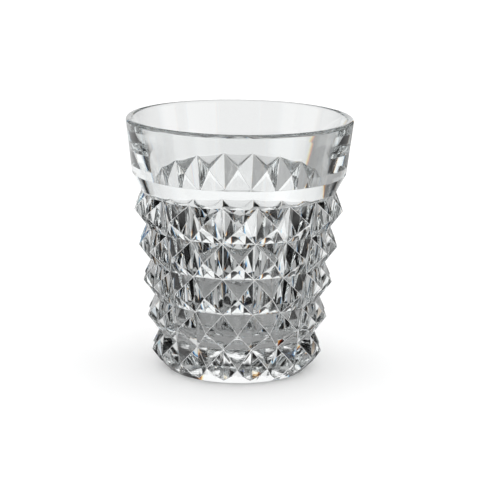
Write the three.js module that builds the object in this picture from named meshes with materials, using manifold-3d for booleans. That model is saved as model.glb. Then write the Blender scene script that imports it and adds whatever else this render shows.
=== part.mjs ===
// A whiskey tumbler of pressed crystal, in millimetres, +Z up.
//
// It is one piece of glass. A belt of five rows of eighteen four-sided diamonds stands on a ground foot,
// a smooth collar flares over the belt by a sloping shoulder, and a round cavity opens at a polished lip.
// The origin is the centre of the foot, on the table. One column of diamonds faces -Y.
import * as THREE from "three";
import { mergeVertices } from "three/addons/utils/BufferGeometryUtils.js";
import Module from "manifold-3d";

// Diamond belt
const COLUMNS = 18;
const ROWS = 5;
const ROW_PITCH = 13.3; // height of one row of diamonds
const FOOT_RADIUS = 27; // depth line of the grooves, at the table
const NECK_RADIUS = 35.5; // depth line of the grooves, at the top of the belt
const DIAMOND_RISE = 3.95; // a diamond's tip over the depth line of the grooves

// Collar
const SHOULDER_HEIGHT = 6.7; // the slope from the top of the belt out to the collar
const COLLAR_STEP = 3.7; // how far the shoulder stands out over the neck
const COLLAR_HEIGHT = 20.1; // the smooth wall over the shoulder, up to the top of the lip
const COLLAR_FLARE = 2.3; // how much the smooth wall widens on its way to the lip
const LIP_WALL = 2.4; // the lip is a half circle across this wall
const SHOULDER_BITE = 0.3; // how far below the belt's top the shoulder's slope meets the grooves

// Cavity
const NECK_WALL = 3.5; // glass between a groove and the cavity, at the top of the belt
const HEEL_WALL = 6.5; // glass between a groove and the cavity, level with the floor
const FLOOR_THICKNESS = 13; // glass under the lowest point of the cavity
const FLOOR_FILLET = 7; // where the cavity's wall turns into its floor
const FLOOR_DISH = 0.8; // how far the floor's centre lies below its edge

// Foot
const FOOT_BEVEL = 0.7; // ground edge that rounds the foot's outline
const FOOT_RING_WIDTH = 5; // flat ring that the tumbler stands on, inside the bevel
const PUNT_DEPTH = 1.2; // shallow hollow inside the ring

const STEPS_PER_COLUMN = 4; // facets round every smooth surface, behind each column of diamonds
const ARC_STEPS = 6; // facets along every quarter arc

const BELT_HEIGHT = ROWS * ROW_PITCH;
const COLLAR_FOOT_Z = BELT_HEIGHT + SHOULDER_HEIGHT;
const HEIGHT = COLLAR_FOOT_Z + COLLAR_HEIGHT;
const COLLAR_FOOT_RADIUS = NECK_RADIUS + COLLAR_STEP;
const RIM_RADIUS = COLLAR_FOOT_RADIUS + COLLAR_FLARE;
const LIP_RADIUS = LIP_WALL / 2;
const COLUMN_ANGLE = (2 * Math.PI) / COLUMNS;
const TURN_STEPS = STEPS_PER_COLUMN * COLUMNS;
const FOOT_FLAT_RADIUS = FOOT_RADIUS * Math.cos(COLUMN_ANGLE / 2) - FOOT_BEVEL;
const PUNT_RADIUS = FOOT_FLAT_RADIUS - FOOT_RING_WIDTH;

// Radius of the grooves' depth line at a height: a straight taper from the foot to the neck.
const grooveRadius = (z) => THREE.MathUtils.lerp(FOOT_RADIUS, NECK_RADIUS, z / BELT_HEIGHT);

// A point at a radius, an angle from -Y and a height.
const polar = (radius, angle, z) => new THREE.Vector3(radius * Math.sin(angle), -radius * Math.cos(angle), z);

// The belt's solid block: every diamond is four flat triangles from its corners on the groove lines up to
// its tip, and flat many-sided discs close the block above and below.
function diamondBelt() {
  const corner = (level, column) =>
    polar(grooveRadius(level * ROW_PITCH), (column - 0.5) * COLUMN_ANGLE, level * ROW_PITCH);
  const tip = (row, column) => {
    const z = (row + 0.5) * ROW_PITCH;
    return polar(grooveRadius(z) + DIAMOND_RISE, column * COLUMN_ANGLE, z);
  };
  const bottomCentre = new THREE.Vector3(0, 0, 0);
  const topCentre = new THREE.Vector3(0, 0, BELT_HEIGHT);
  const triangles = [];
  for (let column = 0; column < COLUMNS; column++) {
    for (let row = 0; row < ROWS; row++) {
      const ring = [
        corner(row, column),
        corner(row, column + 1),
        corner(row + 1, column + 1),
        corner(row + 1, column),
      ];
      ring.forEach((point, i) => triangles.push(point, ring[(i + 1) % ring.length], tip(row, column)));
    }
    triangles.push(bottomCentre, corner(0, column + 1), corner(0, column));
    triangles.push(topCentre, corner(ROWS, column), corner(ROWS, column + 1));
  }
  return new THREE.BufferGeometry().setFromPoints(triangles);
}

// Turns a profile of (radius, height) points about the Z axis.
function turned(path) {
  return new THREE.LatheGeometry(path.getPoints(ARC_STEPS), TURN_STEPS).rotateX(Math.PI / 2);
}

// The collar's solid block: the shoulder's cone, which starts inside the belt, the smooth flared wall, and
// the outer half of the lip up to its crest.
function collarBlock() {
  const slope = COLLAR_STEP / (SHOULDER_HEIGHT + SHOULDER_BITE);
  const rootDepth = ROW_PITCH / 6;
  const rootZ = BELT_HEIGHT - SHOULDER_BITE - rootDepth;
  return turned(
    new THREE.Path()
      .moveTo(0, rootZ)
      .lineTo(NECK_RADIUS - slope * rootDepth, rootZ)
      .lineTo(COLLAR_FOOT_RADIUS, COLLAR_FOOT_Z)
      .lineTo(RIM_RADIUS, HEIGHT - LIP_RADIUS)
      .absarc(RIM_RADIUS - LIP_RADIUS, HEIGHT - LIP_RADIUS, LIP_RADIUS, 0, Math.PI / 2)
      .lineTo(0, HEIGHT),
  );
}

// The cavity's block, which is cut away: a dished floor, a fillet up to the lower wall behind the belt,
// the upper wall behind the collar, and the inner half of the lip.
function cavityBlock() {
  const floorEdgeZ = FLOOR_THICKNESS + FLOOR_DISH;
  const wallFoot = new THREE.Vector2(grooveRadius(floorEdgeZ) - HEEL_WALL, floorEdgeZ);
  const wallNeck = new THREE.Vector2(NECK_RADIUS - NECK_WALL, BELT_HEIGHT);
  const crestRadius = RIM_RADIUS - LIP_RADIUS;
  const upWall = wallNeck.clone().sub(wallFoot).normalize();
  const filletTop = wallFoot.clone().addScaledVector(upWall, FLOOR_FILLET);
  const filletFoot = new THREE.Vector2(wallFoot.x - FLOOR_FILLET, floorEdgeZ);
  const aboveLip = HEIGHT + LIP_WALL;
  return turned(
    new THREE.Path()
      .moveTo(0, FLOOR_THICKNESS)
      .quadraticCurveTo(filletFoot.x / 2, FLOOR_THICKNESS, filletFoot.x, filletFoot.y)
      .quadraticCurveTo(wallFoot.x, wallFoot.y, filletTop.x, filletTop.y)
      .lineTo(wallNeck.x, wallNeck.y)
      .lineTo(RIM_RADIUS - LIP_WALL, HEIGHT - LIP_RADIUS)
      .absarc(crestRadius, HEIGHT - LIP_RADIUS, LIP_RADIUS, Math.PI, Math.PI / 2, true)
      .lineTo(crestRadius, aboveLip)
      .lineTo(0, aboveLip),
  );
}

// What is left of the foot after grinding: a cone that bevels the belt's lowest edge all round.
function footEnvelope() {
  return turned(
    new THREE.Path()
      .moveTo(0, 0)
      .lineTo(FOOT_FLAT_RADIUS, 0)
      .lineTo(FOOT_FLAT_RADIUS + HEIGHT, HEIGHT)
      .lineTo(0, HEIGHT),
  );
}

// The shallow round hollow under the foot, which is cut away.
function puntBlock() {
  return turned(
    new THREE.Path()
      .moveTo(0, -PUNT_DEPTH)
      .lineTo(PUNT_RADIUS, -PUNT_DEPTH)
      .lineTo(PUNT_RADIUS, 0)
      .quadraticCurveTo(PUNT_RADIUS / 2, PUNT_DEPTH, 0, PUNT_DEPTH),
  );
}

const wasm = await Module();
wasm.setup();

// A closed three.js geometry as a solid for cutting and joining.
function solid(geometry) {
  geometry.deleteAttribute("normal");
  geometry.deleteAttribute("uv");
  const merged = mergeVertices(geometry, 1e-4);
  return new wasm.Manifold(
    new wasm.Mesh({
      numProp: 3,
      vertProperties: merged.attributes.position.array,
      triVerts: new Uint32Array(merged.index.array),
    }),
  );
}

// A cut solid as a three.js geometry with flat shading.
function geometryOf(shape) {
  const mesh = shape.getMesh();
  const indexed = new THREE.BufferGeometry()
    .setAttribute("position", new THREE.BufferAttribute(mesh.vertProperties, 3))
    .setIndex(new THREE.BufferAttribute(mesh.triVerts, 1));
  const geometry = indexed.toNonIndexed();
  geometry.computeVertexNormals();
  return geometry;
}

const crystal = new THREE.MeshStandardMaterial({
  color: 0xf2f5f6,
  roughness: 0.02,
  metalness: 0,
  transparent: true,
  opacity: 0.35,
});

const glass = solid(diamondBelt())
  .intersect(solid(footEnvelope()))
  .add(solid(collarBlock()))
  .subtract(solid(cavityBlock()))
  .subtract(solid(puntBlock()));

const tumbler = new THREE.Mesh(geometryOf(glass), crystal);
tumbler.name = "tumbler_glass";

const part = new THREE.Group();
part.add(tumbler);

export default part;
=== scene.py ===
"""A whiskey tumbler of clear crystal, made as one closed surface of glass on a pale studio floor.

The tumbler's outline is a profile carried once round the axis. Where the profile crosses the belt of
diamonds, its radius changes with the angle, so that every diamond is four flat facets that rise to a tip.
"""

import math

import bpy
import numpy as np
from bpy.props import FloatProperty, FloatVectorProperty, IntProperty, PointerProperty
from mathutils import Matrix, Vector


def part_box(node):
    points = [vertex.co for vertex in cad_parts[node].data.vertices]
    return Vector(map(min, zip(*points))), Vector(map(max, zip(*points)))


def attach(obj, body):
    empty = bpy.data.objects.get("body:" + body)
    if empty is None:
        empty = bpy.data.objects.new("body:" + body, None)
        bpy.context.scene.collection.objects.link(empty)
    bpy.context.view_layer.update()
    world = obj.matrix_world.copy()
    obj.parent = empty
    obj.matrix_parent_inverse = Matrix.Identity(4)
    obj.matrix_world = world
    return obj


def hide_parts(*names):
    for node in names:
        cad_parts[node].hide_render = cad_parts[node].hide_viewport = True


bl_info = {
    "name": "Crystal Whiskey Tumbler",
    "version": (1, 0, 0),
    "blender": (4, 5, 0),
    "location": "View3D > Sidebar > Tumbler",
    "description": "Makes a crystal tumbler with a belt of diamonds, and a plain studio around it",
    "category": "Add Mesh",
}

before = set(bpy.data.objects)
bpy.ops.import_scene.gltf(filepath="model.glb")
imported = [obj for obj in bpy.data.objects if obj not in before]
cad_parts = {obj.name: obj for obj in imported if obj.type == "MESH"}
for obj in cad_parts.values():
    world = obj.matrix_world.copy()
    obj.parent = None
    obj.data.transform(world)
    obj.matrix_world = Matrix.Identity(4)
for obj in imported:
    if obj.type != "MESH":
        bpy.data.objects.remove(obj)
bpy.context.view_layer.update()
NODE = "tumbler_glass"
BODY = "root"
CAD_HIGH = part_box(NODE)[1]  # the solid's upper corner
MM = 0.001
STAGE_GAP = 0.02 * MM  # keeps the glass and the floor from sharing a plane

# The cards that the glass sees. A card is the turn of its middle, half its width and its brightness.
# Turns and widths are in degrees, and turns run clockwise, seen from above, from straight behind.
HUNG_CARDS = ((-5, 22, 1.12), (90, 12, 0.6), (135, 18, 0.95))
LAID_CARDS = ((-5, 21, 0.92), (90, 12, 0.8), (-90, 12, 0.8), (135, 22, 0.92), (180, 20, 0.2))
RING_CARDS = ((-46, 21, 0.92), (135, 22, 0.92), (-135, 22, 0.92), (180, 24, 0.92))
NEAR_CARDS = ((-3, 16, 0.75), (57, 12, 0.5), (-63, 12, 0.5), (135, 14, 0.6))
CARD_EDGE = 1  # softness of a card's edge, in degrees
RING_FILL = 0.45  # grey of the paper between the ring's cards
FRINGE = 0.5  # how far red light is shifted one way and blue the other, in degrees
HUNG_TOP = (23, 27)  # elevation where the hung cards end, from and to, in degrees
SOFTBOX = (-105, 25, 1.1)
SOFTBOX_EDGE = 5
SOFTBOX_TOP = (56, 66)
RIGHT_CARD = (108, 25, 0.7)
RIGHT_CARD_EDGE = 5
RIGHT_CARD_TOP = (14, 22)
CEILING = 0.5
CEILING_START = (55, 70)
DARK = 0.002  # the black cloth between the cards
NEAR_DARK = 0.005
UNDER_FOOT_SHADE = 0.32  # painted shade: how dark the glass sees the floor under the foot, below the pale floor's brightness
FOOT_EDGE = (0.04, 0.05)  # distances from the axis, from and to, in metres
LAID_EDGE = (0.14, 0.16)
RING_START = (0.15, 0.17)
RING_END = (0.65, 0.75)
ROOM_RADIUS = 4  # in metres, as are the floor sheet's distances
SHEET_STEPS = 721
SHEET_RINGS = 181
RING_CROWDING = 3  # power that crowds the floor sheet's rings towards the foot
FLOOR_RADIUS = 6
WORLD_LIGHT = 1.3

FLOOR_STEPS = 96

WAVE_SCALE = 380
WAVE_DEPTH = 0.15 * MM
WAVE_TOP = 1.3  # in floor thicknesses, as is the fade
WAVE_FADE = 0.5

# Radii of the arcs that round the profile's corners, from the hollow under the foot to the cavity's floor.
PUNT_ARC = 160 * MM
PUNT_EDGE_ARC = 4 * MM
FOOT_EDGE_ARC = 0.35 * MM
COLLAR_ARC = 0.5 * MM
NECK_ARC = 30 * MM
FILLET_ARC = 1.22  # as a multiple of the floor fillet
DISH_ARC = 200 * MM
FOOT_LIFT = 0.4 * MM  # how far the profile follows the ground bevel before the belt takes over


class TumblerSizes(bpy.types.PropertyGroup):
    """The sizes that the tumbler is worked out from. All but the edge softness are the solid's"""

    columns: IntProperty(name="Columns", description="Diamonds round the belt", default=18, min=3)
    rows: IntProperty(name="Rows", description="Rings of diamonds in the belt", default=5, min=1)
    row_pitch: FloatProperty(
        name="Row pitch",
        description="Height of one row of diamonds",
        default=13.3 * MM, unit="LENGTH",
    )
    foot_radius: FloatProperty(
        name="Foot radius",
        description="Grooves' radius at the table",
        default=27 * MM, unit="LENGTH",
    )
    neck_radius: FloatProperty(
        name="Neck radius",
        description="Grooves' radius at the top of the belt",
        default=35.5 * MM, unit="LENGTH",
    )
    diamond_rise: FloatProperty(
        name="Diamond rise",
        description="A diamond's tip over the grooves",
        default=3.95 * MM, unit="LENGTH",
    )
    edge_softness: FloatProperty(
        name="Edge softness",
        description="How far the ridges are polished down",
        default=0.16 * MM, unit="LENGTH",
    )
    shoulder_height: FloatProperty(
        name="Shoulder height",
        description="Slope between belt and collar",
        default=6.7 * MM, unit="LENGTH",
    )
    shoulder_bite: FloatProperty(
        name="Shoulder bite",
        description="How far the slope runs down into the belt",
        default=0.3 * MM, unit="LENGTH",
    )
    collar_step: FloatProperty(
        name="Collar step",
        description="How far the shoulder stands out",
        default=3.7 * MM, unit="LENGTH",
    )
    lip_wall: FloatProperty(
        name="Lip wall",
        description="Glass across the lip",
        default=2.4 * MM, unit="LENGTH",
    )
    neck_wall: FloatProperty(
        name="Neck wall",
        description="Glass between cavity and grooves at the neck",
        default=3.5 * MM, unit="LENGTH",
    )
    heel_wall: FloatProperty(
        name="Heel wall",
        description="Glass between cavity and grooves at the floor",
        default=6.5 * MM, unit="LENGTH",
    )
    floor_thickness: FloatProperty(
        name="Floor thickness", description="Glass under the cavity", default=13 * MM, unit="LENGTH"
    )
    floor_dish: FloatProperty(
        name="Floor dish",
        description="How far the cavity's floor sinks to its centre",
        default=0.8 * MM, unit="LENGTH",
    )
    floor_fillet: FloatProperty(
        name="Floor fillet",
        description="Length that the cavity's fillet takes up the wall",
        default=7 * MM, unit="LENGTH",
    )
    foot_bevel: FloatProperty(
        name="Foot bevel", description="Ground edge round the foot", default=0.7 * MM, unit="LENGTH"
    )
    foot_ring_width: FloatProperty(
        name="Foot ring",
        description="Width of the ring it stands on",
        default=5 * MM, unit="LENGTH",
    )
    punt_depth: FloatProperty(
        name="Punt depth", description="Hollow under the foot", default=1.2 * MM, unit="LENGTH"
    )


class GlassLook(bpy.types.PropertyGroup):
    """What the crystal looks like"""

    tint: FloatVectorProperty(
        name="Tint",
        description="Colour that light takes on", subtype="COLOR",
        default=(0.985, 0.99, 0.99), min=0, max=1,
    )
    bend: FloatProperty(
        name="Refractive index",
        description="How strongly the crystal bends light",
        default=1.545,
    )
    # painted highlight: the share of plain diffuse mixed into the glass along the ridges, so that they show
    # as light lines
    painted_ridge_highlight: FloatProperty(
        name="Ridge shine",
        description="Share of light that the ridges' fine wear scatters",
        default=0.5, min=0, max=1,
    )


class StudioLook(bpy.types.PropertyGroup):
    """The floor, the light and the camera"""

    floor_colour: FloatVectorProperty(
        name="Floor",
        description="Colour of the floor", subtype="COLOR",
        default=(0.93, 0.93, 0.93), min=0, max=1,
    )
    camera_distance: FloatProperty(
        name="Distance",
        description="From the camera to the point looked at",
        default=688.7 * MM, unit="LENGTH",
    )
    camera_height: FloatProperty(
        name="Height looked at", description="Above the floor", default=33.2 * MM, unit="LENGTH"
    )
    camera_elevation: FloatProperty(
        name="Elevation",
        description="How far up the camera stands",
        default=math.radians(14.08), subtype="ANGLE",
    )
    camera_swing: FloatProperty(
        name="Swing",
        description="How far the camera stands to the left",
        default=math.radians(0.69), subtype="ANGLE",
    )
    camera_tilt: FloatProperty(
        name="Tilt",
        description="Raises the view off the point looked at",
        default=math.radians(1.13), subtype="ANGLE",
    )
    camera_pan: FloatProperty(
        name="Pan",
        description="Turns the view to the right",
        default=math.radians(0.061), subtype="ANGLE",
    )
    camera_roll: FloatProperty(
        name="Roll", description="Turns the picture", default=math.radians(0.85), subtype="ANGLE"
    )
    camera_lens: FloatProperty(
        name="Lens",
        description="Focal length in millimetres",
        default=139.3,
    )


# ---------------------------------------------------------------- the tumbler's surface


def soft_min(a, b, softness):
    """The smaller of a and b, rounded off where they differ by less than softness."""
    near = np.clip(1 - np.abs(a - b) / softness, 0, None)
    return np.minimum(a, b) - near**2 * softness / 4


def soft_max(a, b, softness):
    """The larger of a and b, rounded off in the same way."""
    return -soft_min(-a, -b, softness)


class Belt:
    """The diamond belt as radii over an angle from a column's middle and a height.

    A row's lower and upper facets are level from side to side, so their distance from the axis, measured
    along the column's middle, runs straight from the grooves to the tip. A side facet holds the straight
    line of the upright groove and the tip. A diamond is the least of its facets at every angle.
    """

    def __init__(self, size):
        self.size = size
        self.half = math.pi / size.columns
        self.top = size.rows * size.row_pitch
        self.ground = size.foot_radius * math.cos(self.half) - size.foot_bevel
        self.slope = size.collar_step / (size.shoulder_height + size.shoulder_bite)

    def groove(self, z):
        """Radius of the grooves' depth line: a straight taper from foot to neck."""
        return self.size.foot_radius + (self.size.neck_radius - self.size.foot_radius) * z / self.top

    def tip(self, row):
        """Radius of a row's diamond tips."""
        return self.groove((row + 0.5) * self.size.row_pitch) + self.size.diamond_rise

    def level_facet(self, row, turn, z, upper):
        """Lower or upper facet: a straight line from the level groove out to the tip."""
        edge = (row + (1 if upper else 0)) * self.size.row_pitch
        flat = self.groove(edge) * math.cos(self.half)
        share = np.abs(z - edge) / (self.size.row_pitch / 2)
        signed = np.where((z < edge) == upper, share, -share)
        return (flat + (self.tip(row) - flat) * signed) / np.cos(turn)

    def side_facet(self, row, turn, z):
        """Side facet: through the upright groove and the tip."""
        middle = self.groove((row + 0.5) * self.size.row_pitch)
        tip = self.tip(row)
        outward = tip - middle * math.cos(self.half)
        across = middle * math.sin(self.half) * np.cos(turn) + outward * np.sin(turn)
        return self.groove(z) * tip * math.sin(self.half) / across

    def foot(self, z):
        """The ground bevel round the foot: a cone of 45 degrees."""
        return self.ground + z

    def shoulder(self, z):
        """The shoulder's cone, which starts a bite below the belt's top."""
        return self.size.neck_radius + self.slope * (z - self.top + self.size.shoulder_bite)

    def radius(self, turn, z):
        """Radius of the finished belt, with its ridges and grooves polished."""
        turn = np.abs((turn + self.half) % (2 * self.half) - self.half)
        soft = self.size.edge_softness
        row = np.clip(np.floor(z / self.size.row_pitch), 0, self.size.rows - 1)

        def diamond(row):
            side = soft_max(
                self.side_facet(row, turn, z), self.side_facet(row, 2 * self.half - turn, z), soft / 2
            )
            level = soft_min(
                self.level_facet(row, turn, z, False), self.level_facet(row, turn, z, True), soft
            )
            return soft_min(level, side, soft)

        above = np.clip(row + 1, 0, self.size.rows - 1)
        below = np.clip(row - 1, 0, self.size.rows - 1)
        radius = diamond(row)
        radius = np.where(above > row, soft_max(radius, diamond(above), soft / 2), radius)
        radius = np.where(below < row, soft_max(radius, diamond(below), soft / 2), radius)
        radius = soft_min(radius, self.foot(z), soft)
        return soft_max(radius, self.shoulder(z), soft / 2)

    def ridge_highlight_mask(self, turn, z):
        """Mask of the painted ridge highlight: 1 on the ridges that cross at a diamond's tip, falling to 0
        where their rounding ends.
        """
        turn = np.abs((turn + self.half) % (2 * self.half) - self.half)
        row = np.clip(np.floor(z / self.size.row_pitch), 0, self.size.rows - 1)
        level = np.minimum(self.level_facet(row, turn, z, False), self.level_facet(row, turn, z, True))
        shown = (z > self.foot_height(turn)) & (self.shoulder(z) < level)
        gap = np.abs(level - self.side_facet(row, turn, z))
        return np.clip(1 - gap / self.size.edge_softness, 0, 1) * shown

    def foot_height(self, turn):
        """Height where the ground bevel comes out of the first row's facets."""
        return self.crossing(0, turn, self.foot)

    def ridge(self, row, turn, upper):
        """Height where a side facet meets the lower or upper facet, and half the polished band's height."""
        low = row * self.size.row_pitch
        high = low + self.size.row_pitch
        gap_low = self.level_facet(row, turn, low, upper) - self.side_facet(row, turn, low)
        gap_high = self.level_facet(row, turn, high, upper) - self.side_facet(row, turn, high)
        height = low + (high - low) * gap_low / (gap_low - gap_high)
        band = self.size.edge_softness * (high - low) / np.abs(gap_high - gap_low)
        return height, band

    def crossing(self, row, turn, cone):
        """Height where a rising cone comes out of the row's facets, by halving the row's height."""
        low = np.full(turn.shape, row * self.size.row_pitch)
        high = low + self.size.row_pitch
        for _ in range(40):
            middle = (low + high) / 2
            lower = self.level_facet(row, turn, middle, False)
            upper = self.level_facet(row, turn, middle, True)
            facets = np.minimum(np.minimum(lower, upper), self.side_facet(row, turn, middle))
            inside = cone(middle) < facets
            low = np.where(inside, middle, low)
            high = np.where(inside, high, middle)
        return (low + high) / 2

    def heights(self, turn):
        """Heights of the profile's points at each angle: on every ridge and groove, and beside them."""
        turn = np.abs(turn)
        groove_band = self.size.edge_softness / 4
        foot = self.foot_height(turn)
        neck = self.crossing(self.size.rows - 1, turn, self.shoulder)
        bands = np.array([-1, -0.6, -0.3, 0, 0.3, 0.6, 1])
        points = []
        for row in range(self.size.rows):
            edge = row * self.size.row_pitch
            lower, lower_band = self.ridge(row, turn, False)
            upper, upper_band = self.ridge(row, turn, True)
            middle = (lower + upper) / 2
            first = np.maximum(edge + groove_band, foot)
            last = np.minimum(edge + self.size.row_pitch - groove_band, neck)
            if row:
                points += [np.full(turn.shape, edge), first]
            for band in bands:
                points.append(np.clip(lower + band * lower_band, np.minimum(first, middle), middle))
            for band in bands:
                points.append(np.clip(upper + band * upper_band, middle, np.maximum(last, middle)))
            points.append(last)
        for band in bands:
            points.append(foot + band * self.size.edge_softness)
        for band in (-1, 0, 1):
            points.append(neck + band * groove_band)
        return np.sort(np.array(points), axis=0)


def rounded(corners, steps):
    """Points and outward normals of a profile with every corner but the ends turned by an arc.

    A corner is its radius, its height and the arc's radius. The arc touches both of its straight lines.
    """
    corner = np.array(corners)
    along = np.diff(corner[:, :2], axis=0)
    along /= np.linalg.norm(along, axis=1, keepdims=True)
    points = [corner[0, :2]]
    normals = [[along[0, 1], -along[0, 0]]]
    for i in range(1, len(corner) - 1):
        come, go = along[i - 1], along[i]
        left = np.array([-come[1], come[0]])
        turning = math.atan2(left @ go, come @ go)
        start = corner[i, :2] - come * corner[i, 2] * math.tan(abs(turning) / 2)
        angle = np.linspace(0, turning, steps)[:, None]
        way = np.cos(angle) * come + np.sin(angle) * left
        shift = np.abs(np.sin(angle)) * come + np.sign(turning) * (1 - np.cos(angle)) * left
        points.extend(start + corner[i, 2] * shift)
        normals.extend(np.stack([way[:, 1], -way[:, 0]], -1))
    points.append(corner[-1, :2])
    normals.append([along[-1, 1], -along[-1, 0]])
    return np.array(points), np.array(normals)


def lip_arc(foot, centre, radius, neck, steps):
    """Points and normals of the lip: the circle's arc between the two walls that touch it."""
    ends = []
    for wall, sign in ((foot, 1), (neck, -1)):
        away = np.array(wall) - centre
        ends.append(math.atan2(away[1], away[0]) + sign * math.acos(radius / np.linalg.norm(away)))
    angle = np.linspace(ends[0], ends[1] % (2 * math.pi), steps)
    normals = np.stack([np.cos(angle), np.sin(angle)], -1)
    return centre + radius * normals, normals


def column_angles(columns):
    """Angles round the tumbler, closer together at the diamonds' tips and at the upright grooves."""
    half = math.pi / columns
    share = np.array([0, 0.025, 0.07, 0.16, 0.3, 0.45, 0.6, 0.75, 0.88, 0.96, 0.985, 1])
    turn = np.concatenate([-share[:0:-1], share[:-1]]) * half
    middle = np.arange(columns)[:, None] * 2 * half
    return (middle + turn).ravel(), np.tile(turn, columns)


def tumbler_surface(size):
    """Place, outward normal and painted ridge highlight mask of the whole glass, on a grid of profile points
    and angles.
    """
    belt = Belt(size)
    angle, turn = column_angles(size.columns)
    rim = CAD_HIGH.x
    height = CAD_HIGH.z
    lip = size.lip_wall / 2
    collar_foot = (size.neck_radius + size.collar_step, belt.top + size.shoulder_height)
    floor_edge = size.floor_thickness + size.floor_dish
    wall_neck = (size.neck_radius - size.neck_wall, belt.top)
    wall_foot = (belt.groove(floor_edge) - size.heel_wall, floor_edge)
    punt = belt.ground - size.foot_ring_width
    punt_flat = punt / 2
    dish_flat = wall_foot[0] / 3

    below = rounded(
        [
            (0, size.punt_depth, 0),
            (punt_flat, size.punt_depth, PUNT_ARC),
            (punt, 0, PUNT_EDGE_ARC),
            (belt.ground, 0, FOOT_EDGE_ARC),
            (belt.ground + FOOT_LIFT, FOOT_LIFT, 0),
        ],
        9,
    )
    lip_points, lip_normals = lip_arc(collar_foot, np.array([rim - lip, height - lip]), lip, wall_neck, 25)
    shoulder_start = belt.top + size.shoulder_height / 8
    outer = rounded(
        [
            (belt.shoulder(shoulder_start), shoulder_start, 0),
            (*collar_foot, COLLAR_ARC),
            (*lip_points[0], 0),
        ],
        7,
    )
    inner = rounded(
        [
            (*lip_points[-1], 0),
            (*wall_neck, NECK_ARC),
            (*wall_foot, size.floor_fillet * FILLET_ARC),
            (dish_flat, size.floor_thickness, DISH_ARC),
            (0, size.floor_thickness, 0),
        ],
        25,
    )
    z = belt.heights(turn)
    step = 1e-6
    r = belt.radius(turn, z)
    slope_round = (belt.radius(turn + step, z) - belt.radius(turn - step, z)) / (2 * step) / r
    slope_up = (belt.radius(turn, z + step * MM) - belt.radius(turn, z - step * MM)) / (2 * step * MM)
    long = np.sqrt(1 + slope_round**2 + slope_up**2)

    def lathe(points, normals):
        flat = np.ones(len(angle))
        none = 0 * points[:, 0, None] * flat
        return [points[:, 0, None] * flat, points[:, 1, None] * flat, normals[:, 0, None] * flat,
                none, normals[:, 1, None] * flat, none]

    # each part is radius, height, the normal's share outwards, sideways and up, and the painted ridge
    # highlight mask
    parts = [
        lathe(*below),
        [r, z, 1 / long, -slope_round / long, -slope_up / long, belt.ridge_highlight_mask(turn, z)],
        lathe(outer[0][:-1], outer[1][:-1]),
        lathe(lip_points, lip_normals),
        lathe(inner[0][1:], inner[1][1:]),
    ]
    r, z, out, sideways, up, ridge = (np.concatenate([part[i] for part in parts]) for i in range(6))
    place = np.stack([r * np.sin(angle), -r * np.cos(angle), z], -1)
    normal_x = out * np.sin(angle) + sideways * np.cos(angle)
    normal_y = -out * np.cos(angle) + sideways * np.sin(angle)
    normal = np.stack([normal_x, normal_y, up], -1)
    return place, normal, ridge


def closed_mesh(name, place, normal, ridge):
    """A mesh of the grid, closed round the axis, with points that fall together made one."""
    rows, columns = place.shape[:2]
    flat = place.reshape(-1, 3)
    fine = 1e-8
    whole_steps = np.round(flat / fine).astype(np.int64)
    _, first, index = np.unique(whole_steps, axis=0, return_index=True, return_inverse=True)
    index = index.reshape(rows, columns)
    near = index[:-1]
    far = index[1:]
    quads = np.stack([near, np.roll(near, -1, 1), np.roll(far, -1, 1), far], -1).reshape(-1, 4)
    faces = np.concatenate([quads[:, [0, 1, 2]], quads[:, [0, 2, 3]]])
    whole = (faces[:, 0] != faces[:, 1]) & (faces[:, 1] != faces[:, 2]) & (faces[:, 2] != faces[:, 0])
    faces = faces[whole]
    mesh = bpy.data.meshes.new(name)
    mesh.from_pydata(flat[first].tolist(), [], faces.tolist())
    mesh.shade_smooth()
    directions = normal.reshape(-1, 3)[first]
    directions /= np.linalg.norm(directions, axis=1, keepdims=True)
    mesh.normals_split_custom_set_from_vertices(directions.tolist())
    # the ridge attribute holds the mask of the painted ridge highlight
    mesh.attributes.new("ridge", "FLOAT", "POINT").data.foreach_set("value", ridge.ravel()[first])
    mesh.update()
    return mesh


# ---------------------------------------------------------------- the glass


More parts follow.
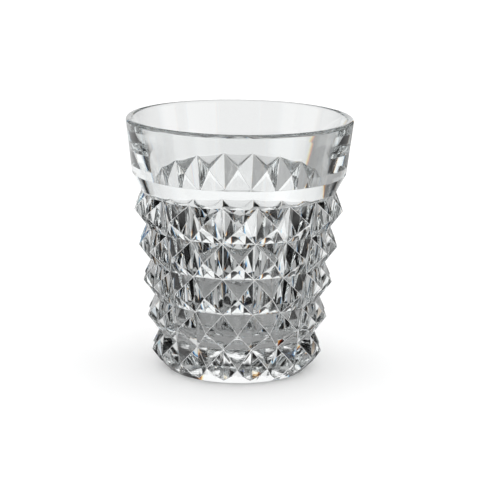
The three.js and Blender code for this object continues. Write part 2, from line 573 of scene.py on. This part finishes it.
def wave_group():
    """The faint waves that pressing leaves in the glass, as a normal.

    They are full below Top, fade out over the next Fade, and lie within Reach of the axis.
    """
    group = bpy.data.node_groups.new("pressed_waves", "ShaderNodeTree")
    given_values = (("Scale", 0, 5000), ("Depth", 0, 1), ("Top", -1, 1), ("Fade", 0, 1), ("Reach", 0, 1))
    for name, low, high in given_values:
        socket = group.interface.new_socket(name, in_out="INPUT", socket_type="NodeSocketFloat")
        socket.min_value, socket.max_value = low, high
    group.interface.new_socket("Normal", in_out="OUTPUT", socket_type="NodeSocketVector")
    node, link = group.nodes.new, group.links.new
    given, result = node("NodeGroupInput"), node("NodeGroupOutput")
    place = node("ShaderNodeTexCoord")
    noise = node("ShaderNodeTexNoise")
    noise.inputs["Detail"].default_value = 3
    noise.inputs["Roughness"].default_value = 0.45
    link(place.outputs["Object"], noise.inputs["Vector"])
    link(given.outputs["Scale"], noise.inputs["Scale"])
    split = node("ShaderNodeSeparateXYZ")
    link(place.outputs["Object"], split.inputs[0])
    flat = node("ShaderNodeVectorMath")
    flat.operation = "MULTIPLY"
    flat.inputs[1].default_value = (1, 1, 0)
    link(place.outputs["Object"], flat.inputs[0])
    away = node("ShaderNodeVectorMath")
    away.operation = "LENGTH"
    link(flat.outputs[0], away.inputs[0])
    low = node("ShaderNodeMapRange")
    low.inputs["To Min"].default_value = 1
    low.inputs["To Max"].default_value = 0
    link(split.outputs["Z"], low.inputs["Value"])
    link(given.outputs["Top"], low.inputs["From Min"])
    above = node("ShaderNodeMath")
    above.operation = "ADD"
    link(given.outputs["Top"], above.inputs[0])
    link(given.outputs["Fade"], above.inputs[1])
    link(above.outputs[0], low.inputs["From Max"])
    within = node("ShaderNodeMath")
    within.operation = "LESS_THAN"
    link(away.outputs["Value"], within.inputs[0])
    link(given.outputs["Reach"], within.inputs[1])
    share = node("ShaderNodeMath")
    share.operation = "MULTIPLY"
    link(low.outputs["Result"], share.inputs[0])
    link(within.outputs[0], share.inputs[1])
    bump = node("ShaderNodeBump")
    link(given.outputs["Depth"], bump.inputs["Distance"])
    link(share.outputs[0], bump.inputs["Strength"])
    link(noise.outputs["Fac"], bump.inputs["Height"])
    link(bump.outputs["Normal"], result.inputs["Normal"])
    return group


def crystal_material(size, look):
    """Clear crystal, wavy low in the cavity and under the foot, with a painted highlight on the ridges: a
    share of plain diffuse mixed in along them, so that they show as light lines.
    """
    material = bpy.data.materials.new("crystal")
    material.use_nodes = True
    tree = material.node_tree
    tree.nodes.clear()
    waves = tree.nodes.new("ShaderNodeGroup")
    waves.node_tree = wave_group()
    waves.inputs["Scale"].default_value = WAVE_SCALE
    waves.inputs["Depth"].default_value = WAVE_DEPTH
    waves.inputs["Top"].default_value = WAVE_TOP * size.floor_thickness
    waves.inputs["Fade"].default_value = WAVE_FADE * size.floor_thickness
    waves.inputs["Reach"].default_value = size.foot_radius - size.heel_wall
    glass = tree.nodes.new("ShaderNodeBsdfGlass")
    glass.inputs["Color"].default_value = (*look.tint, 1)
    glass.inputs["Roughness"].default_value = 0
    glass.inputs["IOR"].default_value = look.bend
    tree.links.new(waves.outputs["Normal"], glass.inputs["Normal"])
    # painted highlight: along the ridges a share of plain diffuse is mixed into the glass, so that they show
    # as light lines
    ridge = tree.nodes.new("ShaderNodeAttribute")
    ridge.attribute_name = "ridge"
    ridge_highlight_factor = tree.nodes.new("ShaderNodeMath")
    ridge_highlight_factor.operation = "MULTIPLY"
    ridge_highlight_factor.inputs[1].default_value = look.painted_ridge_highlight
    ridge_highlight_diffuse = tree.nodes.new("ShaderNodeBsdfDiffuse")
    ridge_highlight_diffuse.inputs["Color"].default_value = (*look.tint, 1)
    both = tree.nodes.new("ShaderNodeMixShader")
    tree.links.new(ridge.outputs["Fac"], ridge_highlight_factor.inputs[0])
    tree.links.new(ridge_highlight_factor.outputs[0], both.inputs["Fac"])
    tree.links.new(glass.outputs[0], both.inputs[1])
    tree.links.new(ridge_highlight_diffuse.outputs[0], both.inputs[2])
    output = tree.nodes.new("ShaderNodeOutputMaterial")
    tree.links.new(both.outputs[0], output.inputs["Surface"])
    return material


# ---------------------------------------------------------------- the studio


def floor_material(look):
    """Pale matt floor with a breath of unevenness."""
    material = bpy.data.materials.new("pale_floor")
    material.use_nodes = True
    tree = material.node_tree
    surface = tree.nodes["Principled BSDF"]
    noise = tree.nodes.new("ShaderNodeTexNoise")
    noise.inputs["Scale"].default_value = 3
    tones = tree.nodes.new("ShaderNodeMapRange")
    tones.inputs["To Min"].default_value = 0.995
    tones.inputs["To Max"].default_value = 1
    shade = tree.nodes.new("ShaderNodeVectorMath")
    shade.operation = "SCALE"
    shade.inputs[0].default_value = look.floor_colour
    place = tree.nodes.new("ShaderNodeTexCoord")
    tree.links.new(place.outputs["Object"], noise.inputs["Vector"])
    tree.links.new(noise.outputs["Fac"], tones.inputs["Value"])
    tree.links.new(tones.outputs["Result"], shade.inputs["Scale"])
    tree.links.new(shade.outputs[0], surface.inputs["Base Color"])
    surface.inputs["Roughness"].default_value = 0.9
    surface.inputs["Specular IOR Level"].default_value = 0.2
    return material


def disc(name, radius, height, steps):
    """A flat round sheet that faces up: one ring of points round the axis."""
    angle = np.linspace(0, 2 * math.pi, steps, endpoint=False)
    ring = np.stack([radius * np.cos(angle), radius * np.sin(angle), np.full(steps, height)], -1)
    mesh = bpy.data.meshes.new(name)
    mesh.from_pydata(ring.tolist(), [], [list(range(steps))])
    sheet = bpy.data.objects.new(name, mesh)
    bpy.context.scene.collection.objects.link(sheet)
    return sheet


def softened(value, low, high):
    """0 below low, 1 above high, and a smooth rise between."""
    share = np.clip((value - low) / (high - low), 0, 1)
    return share * share * (3 - 2 * share)


def band(turn, centre, half, edge):
    """1 within half of the centre's direction, 0 outside it, with a soft edge. All are angles in degrees."""
    away = np.abs((turn - centre + 180) % 360 - 180)
    return 1 - softened(away, half - edge, half + edge)


def card(turn, placed, edge):
    """Brightness of one card at each turn."""
    centre, half, bright = placed
    return bright * band(turn, centre, half, edge)


def cards(turn, listed):
    """Brightness of a list of cards at each turn."""
    return sum(card(turn, placed, CARD_EDGE) for placed in listed)


def room_light(turn, rise):
    """Brightness seen over the horizon: hung cards, a softbox to the left, a card to the right, a ceiling."""
    light = cards(turn, HUNG_CARDS) * (1 - softened(rise, *HUNG_TOP))
    light = light + card(turn, SOFTBOX, SOFTBOX_EDGE) * (1 - softened(rise, *SOFTBOX_TOP))
    light = light + card(turn, RIGHT_CARD, RIGHT_CARD_EDGE) * (1 - softened(rise, *RIGHT_CARD_TOP))
    return light + CEILING * softened(rise, *CEILING_START) + DARK


def ground_light(turn, reach):
    """Brightness that the glass sees on the floor, by distance from the axis.

    It is a painted shade of grey under the foot, then dark with near cards, then a ring of paper and cards
    that goes all the
    """
    near = NEAR_DARK + cards(turn, NEAR_CARDS)
    light = UNDER_FOOT_SHADE + (near - UNDER_FOOT_SHADE) * softened(reach, *FOOT_EDGE)
    light = light + (cards(turn, LAID_CARDS) + DARK - light) * softened(reach, *LAID_EDGE)
    ring = softened(reach, *RING_START) * (1 - softened(reach, *RING_END))
    return np.maximum(light, np.maximum(cards(turn, RING_CARDS), RING_FILL) * ring)


def seen_by_glass(name, place, light):
    """A sheet that only reflected and refracted light meets. It glows with the brightness at its points.

    place and light are functions of two grids, which run from 0 to 1. Red light is taken a little to one
    side and blue to the other, which gives every edge the warm and the cool fringe that crystal gives it.
    """
    across, along = np.meshgrid(np.linspace(0, 1, SHEET_STEPS), np.linspace(0, 1, SHEET_RINGS))
    points = np.stack(place(across, along), -1)
    fringe = FRINGE / 360
    colour = np.stack([light(across + shift, along) for shift in (-fringe, 0, fringe)], -1)
    index = np.arange(points.shape[0] * points.shape[1]).reshape(points.shape[:2])
    quads = np.stack([index[:-1, :-1], index[:-1, 1:], index[1:, 1:], index[1:, :-1]], -1).reshape(-1, 4)
    mesh = bpy.data.meshes.new(name)
    mesh.from_pydata(points.reshape(-1, 3).tolist(), [], quads.tolist())
    glow = mesh.color_attributes.new("glow", "FLOAT_COLOR", "POINT")
    flat = np.concatenate([colour.reshape(-1, 3), np.ones((colour.size // 3, 1))], 1)
    glow.data.foreach_set("color", flat.astype(np.float32).ravel())
    sheet = bpy.data.objects.new(name, mesh)
    mesh.materials.append(glow_material(name))
    sheet.visible_camera = False
    sheet.visible_diffuse = False
    sheet.visible_shadow = False
    bpy.context.scene.collection.objects.link(sheet)


def glow_material(name):
    """Gives off the colour stored at the sheet's points."""
    material = bpy.data.materials.new(name)
    material.use_nodes = True
    tree = material.node_tree
    tree.nodes.clear()
    stored = tree.nodes.new("ShaderNodeVertexColor")
    stored.layer_name = "glow"
    glow = tree.nodes.new("ShaderNodeEmission")
    output = tree.nodes.new("ShaderNodeOutputMaterial")
    tree.links.new(stored.outputs["Color"], glow.inputs["Color"])
    tree.links.new(glow.outputs[0], output.inputs["Surface"])
    material.cycles.emission_sampling = "NONE"
    return material


def room_sheets():
    """The dome and the floor sheet that the glass sees in place of the room."""

    def dome(across, along):
        turn, rise = across * 2 * math.pi, (along * 0.5) * math.pi
        flat = ROOM_RADIUS * np.cos(rise)
        return flat * np.sin(turn), flat * np.cos(turn), ROOM_RADIUS * np.sin(rise)

    def ground(across, along):
        turn, reach = across * 2 * math.pi, ROOM_RADIUS * along**RING_CROWDING
        return reach * np.sin(turn), reach * np.cos(turn), np.full(turn.shape, -STAGE_GAP / 2)

    def dome_light(across, along):
        return room_light(across * 360, along * 90)

    def floor_light(across, along):
        return ground_light(across * 360, ROOM_RADIUS * along**RING_CROWDING)

    seen_by_glass("room_dome", dome, dome_light)
    seen_by_glass("room_floor", ground, floor_light)


def white_world():
    """Even white light from everywhere, for the floor and the background."""
    world = bpy.data.worlds.new("studio")
    world.use_nodes = True
    background = world.node_tree.nodes["Background"]
    background.inputs["Color"].default_value = (1, 1, 1, 1)
    background.inputs["Strength"].default_value = WORLD_LIGHT
    bpy.context.scene.world = world


def studio_camera(look):
    """The camera stands in front and a little above, aimed at the axis, then tilted, panned and rolled."""
    swing, rise, roll = look.camera_swing, look.camera_elevation, look.camera_roll
    turn, pitch = swing + look.camera_pan, look.camera_tilt - rise
    forward = Vector((math.sin(turn) * math.cos(pitch), math.cos(turn) * math.cos(pitch), math.sin(pitch)))
    level = Vector((math.cos(turn), -math.sin(turn), 0))
    over = level.cross(forward)
    right = math.cos(roll) * level + math.sin(roll) * over
    top = -math.sin(roll) * level + math.cos(roll) * over
    back = Vector((-math.sin(swing) * math.cos(rise), -math.cos(swing) * math.cos(rise), math.sin(rise)))
    place = Vector((0, 0, look.camera_height)) + back * look.camera_distance
    camera = bpy.data.objects.new("camera", bpy.data.cameras.new("camera"))
    camera.data.lens = look.camera_lens
    camera.data.clip_start = 0.01
    camera.data.clip_end = 50
    camera.matrix_world = Matrix((
        (right.x, top.x, -forward.x, place.x),
        (right.y, top.y, -forward.y, place.y),
        (right.z, top.z, -forward.z, place.z),
        (0, 0, 0, 1),
    ))
    bpy.context.scene.collection.objects.link(camera)
    bpy.context.scene.camera = camera


# ---------------------------------------------------------------- operators and panel


class TUMBLER_OT_glass(bpy.types.Operator):
    """Make the tumbler: one closed body of crystal"""

    bl_idname = "tumbler.glass"
    bl_label = "Tumbler glass"

    def execute(self, context):
        size = context.scene.tumbler_sizes
        mesh = closed_mesh("crystal_tumbler", *tumbler_surface(size))
        tumbler = bpy.data.objects.new("crystal_tumbler", mesh)
        tumbler.data.materials.append(crystal_material(size, context.scene.tumbler_glass))
        context.scene.collection.objects.link(tumbler)
        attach(tumbler, BODY)
        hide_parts(NODE)
        return {"FINISHED"}


class TUMBLER_OT_stage(bpy.types.Operator):
    """Set the stage: a pale floor, soft light and the camera"""

    bl_idname = "tumbler.stage"
    bl_label = "Studio"

    def execute(self, context):
        look = context.scene.tumbler_studio
        floor = disc("floor", FLOOR_RADIUS, -STAGE_GAP, FLOOR_STEPS)
        floor.data.materials.append(floor_material(look))
        white_world()
        room_sheets()
        studio_camera(look)
        scene = context.scene
        scene.view_settings.view_transform = "Standard"
        scene.cycles.max_bounces = 32
        scene.cycles.transmission_bounces = 32
        scene.cycles.glossy_bounces = 16
        scene.cycles.caustics_reflective = True
        scene.cycles.caustics_refractive = True
        scene.cycles.blur_glossy = 0
        return {"FINISHED"}


class TUMBLER_PT_panel(bpy.types.Panel):
    """Lists what makes the tumbler"""

    bl_label = "Tumbler"
    bl_idname = "TUMBLER_PT_panel"
    bl_space_type = "VIEW_3D"
    bl_region_type = "UI"
    bl_category = "Tumbler"

    def draw(self, context):
        layout = self.layout
        for group in (context.scene.tumbler_sizes, context.scene.tumbler_glass, context.scene.tumbler_studio):
            for name in group.bl_rna.properties.keys():
                if name not in ("rna_type", "name"):
                    layout.prop(group, name)
        for operator in OPERATORS:
            layout.operator(operator.bl_idname)


OPERATORS = (TUMBLER_OT_glass, TUMBLER_OT_stage)
CLASSES = (TumblerSizes, GlassLook, StudioLook, *OPERATORS, TUMBLER_PT_panel)


def register():
    for cls in CLASSES:
        bpy.utils.register_class(cls)
    bpy.types.Scene.tumbler_sizes = PointerProperty(type=TumblerSizes)
    bpy.types.Scene.tumbler_glass = PointerProperty(type=GlassLook)
    bpy.types.Scene.tumbler_studio = PointerProperty(type=StudioLook)


def unregister():
    del bpy.types.Scene.tumbler_sizes
    del bpy.types.Scene.tumbler_glass
    del bpy.types.Scene.tumbler_studio
    for cls in reversed(CLASSES):
        bpy.utils.unregister_class(cls)


def main():
    register()
    bpy.ops.tumbler.glass()
    bpy.ops.tumbler.stage()


if __name__ == "__main__":
    main()
